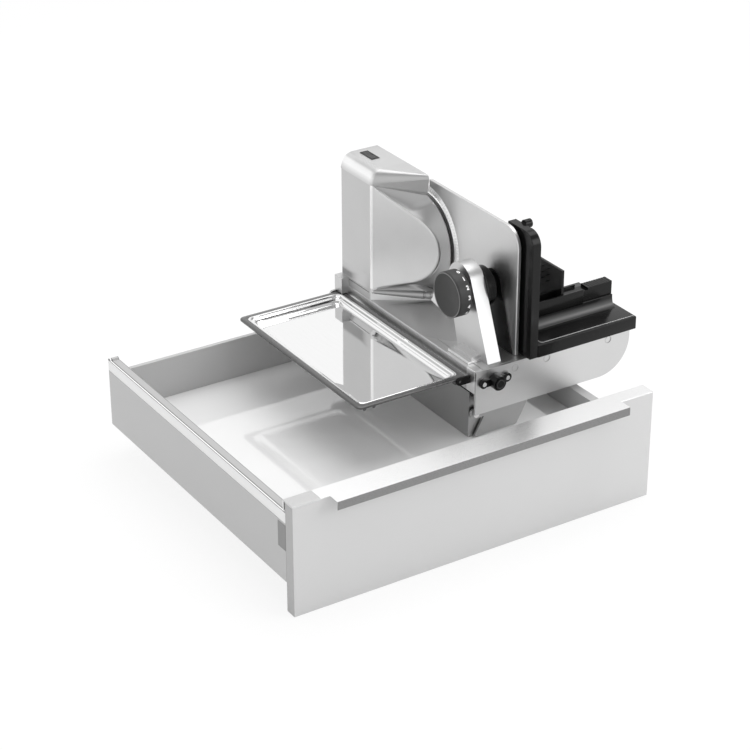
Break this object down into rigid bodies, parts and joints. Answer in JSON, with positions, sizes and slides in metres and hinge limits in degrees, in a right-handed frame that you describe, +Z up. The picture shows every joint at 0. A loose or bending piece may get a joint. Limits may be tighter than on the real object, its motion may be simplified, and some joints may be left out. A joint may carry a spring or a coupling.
{
  "type": "electric food slicer",
  "caption": "Electric food slicer with round blade, stop plate, dial, sliding carriage and slice tray, folding down into its own pull-out kitchen drawer.",
  "frame": {"origin": "centre of the four runner screw holes, at the underside of the cabinet runners", "axes": "+X to the right along the drawer front, +Y into the cabinet away from the front, +Z up"},
  "size_m": [0.684, 0.558, 0.3978],
  "materials": {
    "zinc_steel": "galvanised",
    "side_steel": "satin",
    "satin_aluminium": "satin",
    "cast_aluminium": "satin lacquer",
    "grey_steel": "satin",
    "bright_steel": "polished",
    "black_plastic": "matt",
    "front_lacquer": "satin lacquer on board",
    "handle_aluminium": "bright anodised",
    "floor_panel": "gloss laminate on chipboard",
    "blade_steel": "ground",
    "tray_steel": "polished",
    "bronze": "machined",
    "gear_plastic": "moulded",
    "motor_iron": "laminated",
    "copper": "wound wire"
  },
  "bodies": {
    "cabinet": {"cabinet_runner_left": "zinc_steel", "cabinet_runner_right": "zinc_steel"},
    "middle_runners": {"middle_runner_left": "zinc_steel", "middle_runner_right": "zinc_steel"},
    "drawer": {"drawer_runner_left": "zinc_steel", "drawer_runner_right": "zinc_steel", "front_panel": "front_lacquer", "handle_strip": "handle_aluminium", "left_side": "side_steel", "right_side": "side_steel", "drawer_floor": "floor_panel", "back_wall": "side_steel", "front_brackets": "grey_steel", "front_fixing_screws": "bright_steel", "pedestal": "grey_steel", "pedestal_screws": "bright_steel", "hinge_pin": "bright_steel"},
    "slicer": {"base_frame": "satin_aluminium", "left_rail": "satin_aluminium", "front_plate": "satin_aluminium", "fold_arms": "grey_steel", "motor_housing": "cast_aluminium", "housing_rim": "cast_aluminium", "housing_cover": "grey_steel", "column": "cast_aluminium", "column_cover": "black_plastic", "motor_stator": "motor_iron", "motor_bracket": "zinc_steel", "blade_bearing": "bronze", "lock_flange": "black_plastic", "lock_screws": "bright_steel", "switch_bezel": "black_plastic", "carriage_guide_rail": "satin_aluminium", "tray_posts": "cast_aluminium", "rail_strip": "black_plastic", "base_screws": "bright_steel", "cable_gland": "black_plastic"},
    "blade": {"blade": "blade_steel", "blade_gear": "gear_plastic", "blade_axle": "bright_steel", "blade_screw": "bright_steel"},
    "rotor": {"armature": "copper", "motor_shaft": "bright_steel", "cooling_fan": "black_plastic"},
    "stop_plate": {"stop_plate": "satin_aluminium", "stop_plate_slide": "black_plastic"},
    "dial": {"thickness_dial": "black_plastic", "dial_spindle": "bright_steel"},
    "carriage": {"carriage_body": "black_plastic", "hand_guard": "black_plastic", "carriage_shoe": "black_plastic"},
    "holder": {"holder_grip": "black_plastic", "holder_plate": "black_plastic"},
    "tray": {"tray_pan": "tray_steel", "tray_frame": "black_plastic"},
    "lock_button": {"lock_button": "black_plastic"},
    "rocker": {"rocker_switch": "black_plastic"}
  },
  "joints": [
    {"name": "drawer_slide", "type": "slide", "parent": "cabinet", "child": "drawer", "axis": [0, -1, 0], "range_m": [0, 0.45]},
    {"name": "middle_runner_slide", "type": "slide", "parent": "cabinet", "child": "middle_runners", "axis": [0, -1, 0], "range_m": [0, 0.225]},
    {"name": "slicer_fold", "type": "hinge", "parent": "drawer", "child": "slicer", "pos_m": [0.1135, 0.07, 0.0625], "axis": [0, -1, 0], "range_deg": [0, 90]},
    {"name": "tray_level", "type": "hinge", "parent": "slicer", "child": "tray", "pos_m": [0.0855, 0.0775, 0.1225], "axis": [0, 1, 0], "range_deg": [0, 90]},
    {"name": "blade_spin", "type": "hinge", "parent": "slicer", "child": "blade", "pos_m": [0.1795, 0.137, 0.2365], "axis": [1, 0, 0], "continuous": true},
    {"name": "rotor_spin", "type": "hinge", "parent": "slicer", "child": "rotor", "pos_m": [0.1475, 0.1627, 0.2905], "axis": [0, 0, 1], "continuous": true},
    {"name": "dial_turn", "type": "hinge", "parent": "slicer", "child": "dial", "pos_m": [0.1135, -0.04, 0.2335], "axis": [1, 0, 0], "range_deg": [0, 300]},
    {"name": "stop_plate_slide", "type": "slide", "parent": "slicer", "child": "stop_plate", "axis": [-1, 0, 0], "range_m": [0, 0.012]},
    {"name": "carriage_slide", "type": "slide", "parent": "slicer", "child": "carriage", "axis": [0, 1, 0], "range_m": [0, 0.2]},
    {"name": "holder_slide", "type": "slide", "parent": "carriage", "child": "holder", "axis": [-1, 0, 0], "range_m": [0, 0.045]},
    {"name": "lock_press", "type": "slide", "parent": "slicer", "child": "lock_button", "axis": [0, 1, 0], "range_m": [0, 0.006], "stiffness_N_per_m": 400, "springref_m": -0.004},
    {"name": "switch_rock", "type": "hinge", "parent": "slicer", "child": "rocker", "pos_m": [0.1365, 0.225, 0.349], "axis": [1, 0, 0], "range_deg": [-5, 5], "stiffness_Nm_per_rad": 0.05}
  ],
  "couplings": [
    {"joint": "middle_runner_slide", "follows": "drawer_slide", "ratio": 0.5},
    {"joint": "tray_level", "follows": "slicer_fold", "ratio": 1},
    {"joint": "rotor_spin", "follows": "blade_spin", "ratio": 24},
    {"joint": "stop_plate_slide", "follows": "dial_turn", "m_per_rad": 0.0022918}
  ]
}
